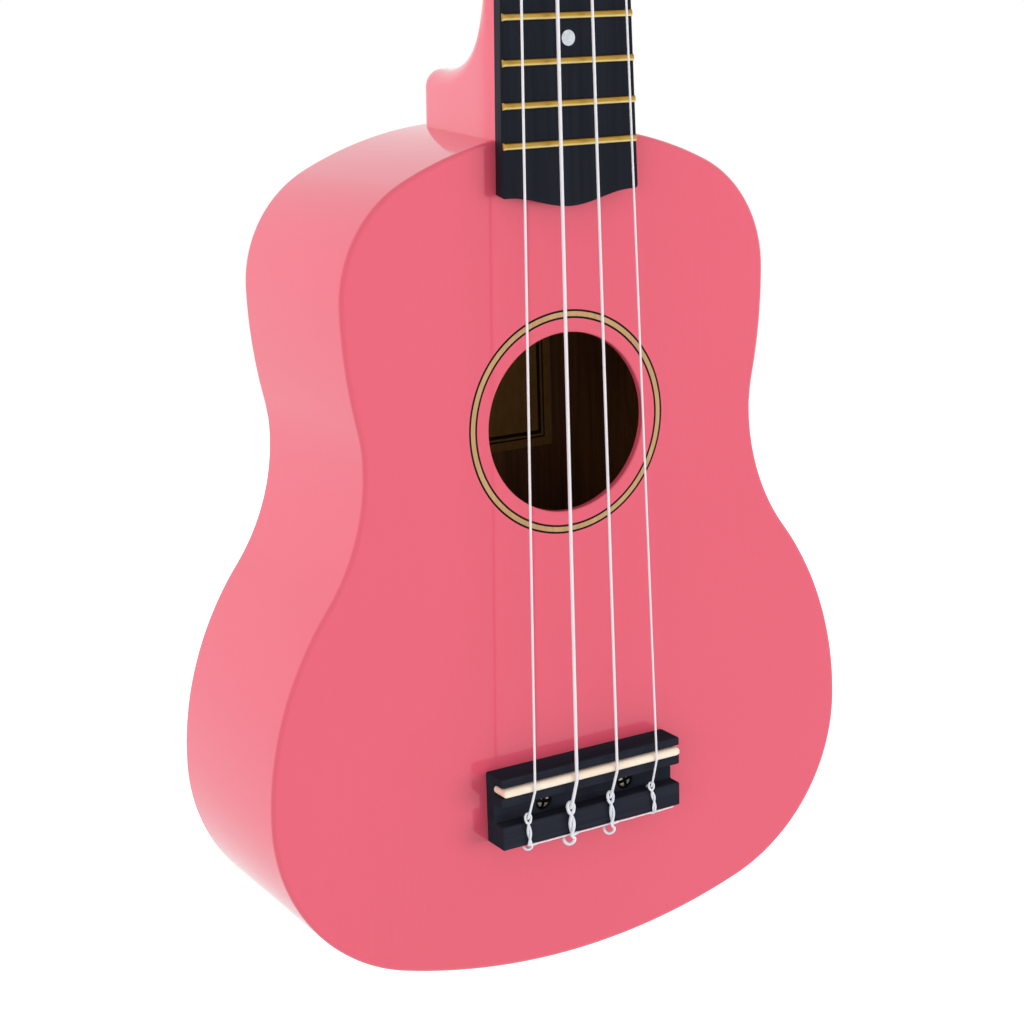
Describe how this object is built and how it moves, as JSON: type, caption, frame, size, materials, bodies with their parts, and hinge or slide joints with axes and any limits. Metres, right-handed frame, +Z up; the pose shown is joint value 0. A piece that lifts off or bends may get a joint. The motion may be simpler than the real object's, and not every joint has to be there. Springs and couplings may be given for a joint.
{
  "type": "soprano ukulele",
  "caption": "Soprano ukulele with a waisted hollow body, round sound hole, tie-block bridge, full-depth heel, fretted neck and geared tuners.",
  "frame": {"origin": "the middle of the nut's fretboard edge, on the neck's front face, where a wall hanger's fork meets the neck under the headstock", "axes": "+Z up along the neck to the headstock, -Y to the front where the strings are, +X to the right seen from the front"},
  "size_m": [0.19, 0.0725, 0.5142],
  "materials": {
    "pink_lacquer": "glossy coral pink lacquer over wood",
    "bare_wood": "bare, sanded",
    "label_paper": "matt, aged",
    "tan_inlay": "lacquered flush",
    "dark_inlay": "lacquered flush",
    "dark_board": "satin, dyed near black",
    "fret_wire": "polished",
    "pearl_dot": "pearly",
    "ivory": "polished",
    "dark_bridge": "satin, dyed near black",
    "dark_screw": "blackened",
    "clear_nylon": "translucent nylon",
    "bright_metal": "nickel or chrome plated",
    "gear_brass": "cut brass",
    "button_plastic": "pearly white"
  },
  "bodies": {
    "instrument": {"soundboard": "pink_lacquer", "back_plate": "pink_lacquer", "side_left": "pink_lacquer", "side_right": "pink_lacquer", "neck": "pink_lacquer", "neck_block": "bare_wood", "tail_block": "bare_wood", "top_lining_left": "bare_wood", "top_lining_right": "bare_wood", "back_lining_left": "bare_wood", "back_lining_right": "bare_wood", "upper_top_brace": "bare_wood", "lower_top_brace": "bare_wood", "upper_back_brace": "bare_wood", "lower_back_brace": "bare_wood", "bridge_plate": "bare_wood", "label": "label_paper", "rosette_ring": "tan_inlay", "rosette_lines": "dark_inlay", "fretboard": "dark_board", "frets": "fret_wire", "position_dots": "pearl_dot", "nut": "ivory", "saddle": "ivory", "bridge": "dark_bridge", "bridge_screws": "dark_screw", "string_g": "clear_nylon", "string_c": "clear_nylon", "string_e": "clear_nylon", "string_a": "clear_nylon", "ferrules": "bright_metal", "plate_screws": "bright_metal", "tuner_plate_g": "bright_metal", "tuner_plate_c": "bright_metal", "tuner_plate_e": "bright_metal", "tuner_plate_a": "bright_metal"},
    "post_g": {"tuner_post_g": "bright_metal", "tuner_gear_g": "gear_brass", "gear_screw_g": "bright_metal", "string_wraps_g": "clear_nylon"},
    "knob_g": {"tuner_worm_g": "bright_metal", "tuner_button_g": "button_plastic"},
    "post_c": {"tuner_post_c": "bright_metal", "tuner_gear_c": "gear_brass", "gear_screw_c": "bright_metal", "string_wraps_c": "clear_nylon"},
    "knob_c": {"tuner_worm_c": "bright_metal", "tuner_button_c": "button_plastic"},
    "post_e": {"tuner_post_e": "bright_metal", "tuner_gear_e": "gear_brass", "gear_screw_e": "bright_metal", "string_wraps_e": "clear_nylon"},
    "knob_e": {"tuner_worm_e": "bright_metal", "tuner_button_e": "button_plastic"},
    "post_a": {"tuner_post_a": "bright_metal", "tuner_gear_a": "gear_brass", "gear_screw_a": "bright_metal", "string_wraps_a": "clear_nylon"},
    "knob_a": {"tuner_worm_a": "bright_metal", "tuner_button_a": "button_plastic"}
  },
  "joints": [
    {"name": "post_turn_g", "type": "hinge", "parent": "instrument", "child": "post_g", "pos_m": [-0.016, 0.00728, 0.03923], "axis": [0, 0.9781, -0.2079], "continuous": true},
    {"name": "knob_turn_g", "type": "hinge", "parent": "instrument", "child": "knob_g", "pos_m": [-0.016, 0.02186, 0.02847], "axis": [1, 0, 0], "continuous": true},
    {"name": "post_turn_c", "type": "hinge", "parent": "instrument", "child": "post_c", "pos_m": [-0.016, 0.0158, 0.07934], "axis": [0, 0.9781, -0.2079], "continuous": true},
    {"name": "knob_turn_c", "type": "hinge", "parent": "instrument", "child": "knob_c", "pos_m": [-0.016, 0.03038, 0.06857], "axis": [1, 0, 0], "continuous": true},
    {"name": "post_turn_e", "type": "hinge", "parent": "instrument", "child": "post_e", "pos_m": [0.016, 0.0158, 0.07934], "axis": [0, 0.9781, -0.2079], "continuous": true},
    {"name": "knob_turn_e", "type": "hinge", "parent": "instrument", "child": "knob_e", "pos_m": [0.016, 0.03038, 0.06857], "axis": [1, 0, 0], "continuous": true},
    {"name": "post_turn_a", "type": "hinge", "parent": "instrument", "child": "post_a", "pos_m": [0.016, 0.00728, 0.03923], "axis": [0, 0.9781, -0.2079], "continuous": true},
    {"name": "knob_turn_a", "type": "hinge", "parent": "instrument", "child": "knob_a", "pos_m": [0.016, 0.02186, 0.02847], "axis": [1, 0, 0], "continuous": true}
  ],
  "couplings": [
    {"joint": "post_turn_g", "follows": "knob_turn_g", "ratio": 0.071429},
    {"joint": "post_turn_c", "follows": "knob_turn_c", "ratio": 0.071429},
    {"joint": "post_turn_e", "follows": "knob_turn_e", "ratio": 0.071429},
    {"joint": "post_turn_a", "follows": "knob_turn_a", "ratio": 0.071429}
  ]
}
